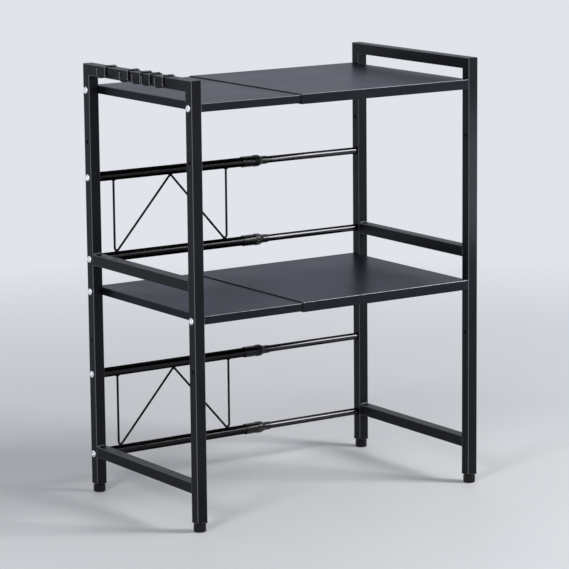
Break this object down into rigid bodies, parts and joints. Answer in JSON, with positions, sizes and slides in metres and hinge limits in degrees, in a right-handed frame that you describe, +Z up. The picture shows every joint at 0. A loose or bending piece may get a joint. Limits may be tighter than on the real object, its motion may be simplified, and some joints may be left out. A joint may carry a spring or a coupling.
{
  "type": "microwave stand",
  "caption": "Width-extending steel microwave stand: two telescopic tray shelves between square-tube side frames, braced twist-lock back rails, levelling feet and side hooks.",
  "frame": {"origin": "on the floor, under the middle of the stand's box with the hooks on its left rail", "axes": "+Z up, +X to the right along the shelves, -Y towards the front"},
  "size_m": [0.6219, 0.3616, 0.779],
  "materials": {
    "frame_coat": "matt black powder coat with a fine grain",
    "deck_coat": "satin black powder coat with a fine grain",
    "tube_gloss": "gloss black enamel",
    "wire_coat": "black dip coat",
    "lock_plastic": "moulded black nylon",
    "foot_plastic": "moulded black plastic",
    "collet_plastic": "natural nylon",
    "bolt_zinc": "bright zinc plate",
    "plain_steel": "plain zinc-plated steel"
  },
  "bodies": {
    "left_half": {"left_front_leg": "frame_coat", "left_rear_leg": "frame_coat", "left_top_rail": "frame_coat", "left_mid_rail": "frame_coat", "left_bottom_rail": "frame_coat", "left_leg_plugs": "foot_plastic", "left_plug_nuts": "plain_steel", "left_shelf_nuts": "plain_steel", "left_rail_inserts": "plain_steel", "left_shelf_bolts": "bolt_zinc", "left_rail_bolts": "bolt_zinc", "upper_inner_tray": "deck_coat", "upper_brace": "wire_coat", "lower_inner_tray": "deck_coat", "lower_brace": "wire_coat", "rail_1_thick_tube": "tube_gloss", "rail_1_lock_sleeve": "lock_plastic", "rail_2_thick_tube": "tube_gloss", "rail_2_lock_sleeve": "lock_plastic", "rail_3_thick_tube": "tube_gloss", "rail_3_lock_sleeve": "lock_plastic", "rail_4_thick_tube": "tube_gloss", "rail_4_lock_sleeve": "lock_plastic", "rail_collets": "collet_plastic"},
    "right_half": {"right_front_leg": "frame_coat", "right_rear_leg": "frame_coat", "right_top_rail": "frame_coat", "right_mid_rail": "frame_coat", "right_bottom_rail": "frame_coat", "right_leg_plugs": "foot_plastic", "right_plug_nuts": "plain_steel", "right_shelf_nuts": "plain_steel", "right_rail_inserts": "plain_steel", "right_shelf_bolts": "bolt_zinc", "right_rail_bolts": "bolt_zinc", "upper_outer_tray": "deck_coat", "lower_outer_tray": "deck_coat", "rail_1_thin_tube": "tube_gloss", "rail_2_thin_tube": "tube_gloss", "rail_3_thin_tube": "tube_gloss", "rail_4_thin_tube": "tube_gloss"},
    "left_front_foot_stud": {"left_front_foot_stud": "plain_steel"},
    "left_front_foot_pad": {"left_front_foot_pad": "foot_plastic"},
    "left_rear_foot_stud": {"left_rear_foot_stud": "plain_steel"},
    "left_rear_foot_pad": {"left_rear_foot_pad": "foot_plastic"},
    "right_front_foot_stud": {"right_front_foot_stud": "plain_steel"},
    "right_front_foot_pad": {"right_front_foot_pad": "foot_plastic"},
    "right_rear_foot_stud": {"right_rear_foot_stud": "plain_steel"},
    "right_rear_foot_pad": {"right_rear_foot_pad": "foot_plastic"},
    "rail_1_lock_nut": {"rail_1_lock_nut": "lock_plastic"},
    "rail_2_lock_nut": {"rail_2_lock_nut": "lock_plastic"},
    "rail_3_lock_nut": {"rail_3_lock_nut": "lock_plastic"},
    "rail_4_lock_nut": {"rail_4_lock_nut": "lock_plastic"},
    "hook_1": {"hook_1": "wire_coat"},
    "hook_2": {"hook_2": "wire_coat"},
    "hook_3": {"hook_3": "wire_coat"},
    "hook_4": {"hook_4": "wire_coat"},
    "hook_5": {"hook_5": "wire_coat"}
  },
  "joints": [
    {"name": "width_slide", "type": "slide", "parent": "left_half", "child": "right_half", "axis": [1, 0, 0], "range_m": [-0.2, 0]},
    {"name": "lock_1_turn", "type": "hinge", "parent": "left_half", "child": "rail_1_lock_nut", "pos_m": [0.07205, 0.17, 0.573], "axis": [1, 0, 0], "range_deg": [0, 180]},
    {"name": "lock_2_turn", "type": "hinge", "parent": "left_half", "child": "rail_2_lock_nut", "pos_m": [0.07205, 0.17, 0.4265], "axis": [1, 0, 0], "range_deg": [0, 180]},
    {"name": "lock_3_turn", "type": "hinge", "parent": "left_half", "child": "rail_3_lock_nut", "pos_m": [0.07205, 0.17, 0.217], "axis": [1, 0, 0], "range_deg": [0, 180]},
    {"name": "lock_4_turn", "type": "hinge", "parent": "left_half", "child": "rail_4_lock_nut", "pos_m": [0.07205, 0.17, 0.0705], "axis": [1, 0, 0], "range_deg": [0, 180]},
    {"name": "left_front_foot_travel", "type": "slide", "parent": "left_half", "child": "left_front_foot_stud", "axis": [0, 0, -1], "range_m": [0, 0.01]},
    {"name": "left_front_foot_turn", "type": "hinge", "parent": "left_front_foot_stud", "child": "left_front_foot_pad", "pos_m": [-0.28145, -0.17, 0.01], "axis": [0, 0, -1], "range_deg": [0, 2880]},
    {"name": "left_rear_foot_travel", "type": "slide", "parent": "left_half", "child": "left_rear_foot_stud", "axis": [0, 0, -1], "range_m": [0, 0.01]},
    {"name": "left_rear_foot_turn", "type": "hinge", "parent": "left_rear_foot_stud", "child": "left_rear_foot_pad", "pos_m": [-0.28145, 0.17, 0.01], "axis": [0, 0, -1], "range_deg": [0, 2880]},
    {"name": "right_front_foot_travel", "type": "slide", "parent": "right_half", "child": "right_front_foot_stud", "axis": [0, 0, -1], "range_m": [0, 0.01]},
    {"name": "right_front_foot_turn", "type": "hinge", "parent": "right_front_foot_stud", "child": "right_front_foot_pad", "pos_m": [0.29855, -0.17, 0.01], "axis": [0, 0, -1], "range_deg": [0, 2880]},
    {"name": "right_rear_foot_travel", "type": "slide", "parent": "right_half", "child": "right_rear_foot_stud", "axis": [0, 0, -1], "range_m": [0, 0.01]},
    {"name": "right_rear_foot_turn", "type": "hinge", "parent": "right_rear_foot_stud", "child": "right_rear_foot_pad", "pos_m": [0.29855, 0.17, 0.01], "axis": [0, 0, -1], "range_deg": [0, 2880]},
    {"name": "hook_1_slide", "type": "slide", "parent": "left_half", "child": "hook_1", "axis": [0, 1, 0], "range_m": [-0.036, 0.056]},
    {"name": "hook_2_slide", "type": "slide", "parent": "left_half", "child": "hook_2", "axis": [0, 1, 0], "range_m": [-0.018, 0.036]},
    {"name": "hook_3_slide", "type": "slide", "parent": "left_half", "child": "hook_3", "axis": [0, 1, 0], "range_m": [-0.013, 0.018]},
    {"name": "hook_4_slide", "type": "slide", "parent": "left_half", "child": "hook_4", "axis": [0, 1, 0], "range_m": [-0.018, 0.013]},
    {"name": "hook_5_slide", "type": "slide", "parent": "left_half", "child": "hook_5", "axis": [0, 1, 0], "range_m": [-0.06, 0.018]}
  ],
  "couplings": [
    {"joint": "left_front_foot_turn", "follows": "left_front_foot_travel", "rad_per_m": 5026.5},
    {"joint": "left_rear_foot_turn", "follows": "left_rear_foot_travel", "rad_per_m": 5026.5},
    {"joint": "right_front_foot_turn", "follows": "right_front_foot_travel", "rad_per_m": 5026.5},
    {"joint": "right_rear_foot_turn", "follows": "right_rear_foot_travel", "rad_per_m": 5026.5}
  ]
}
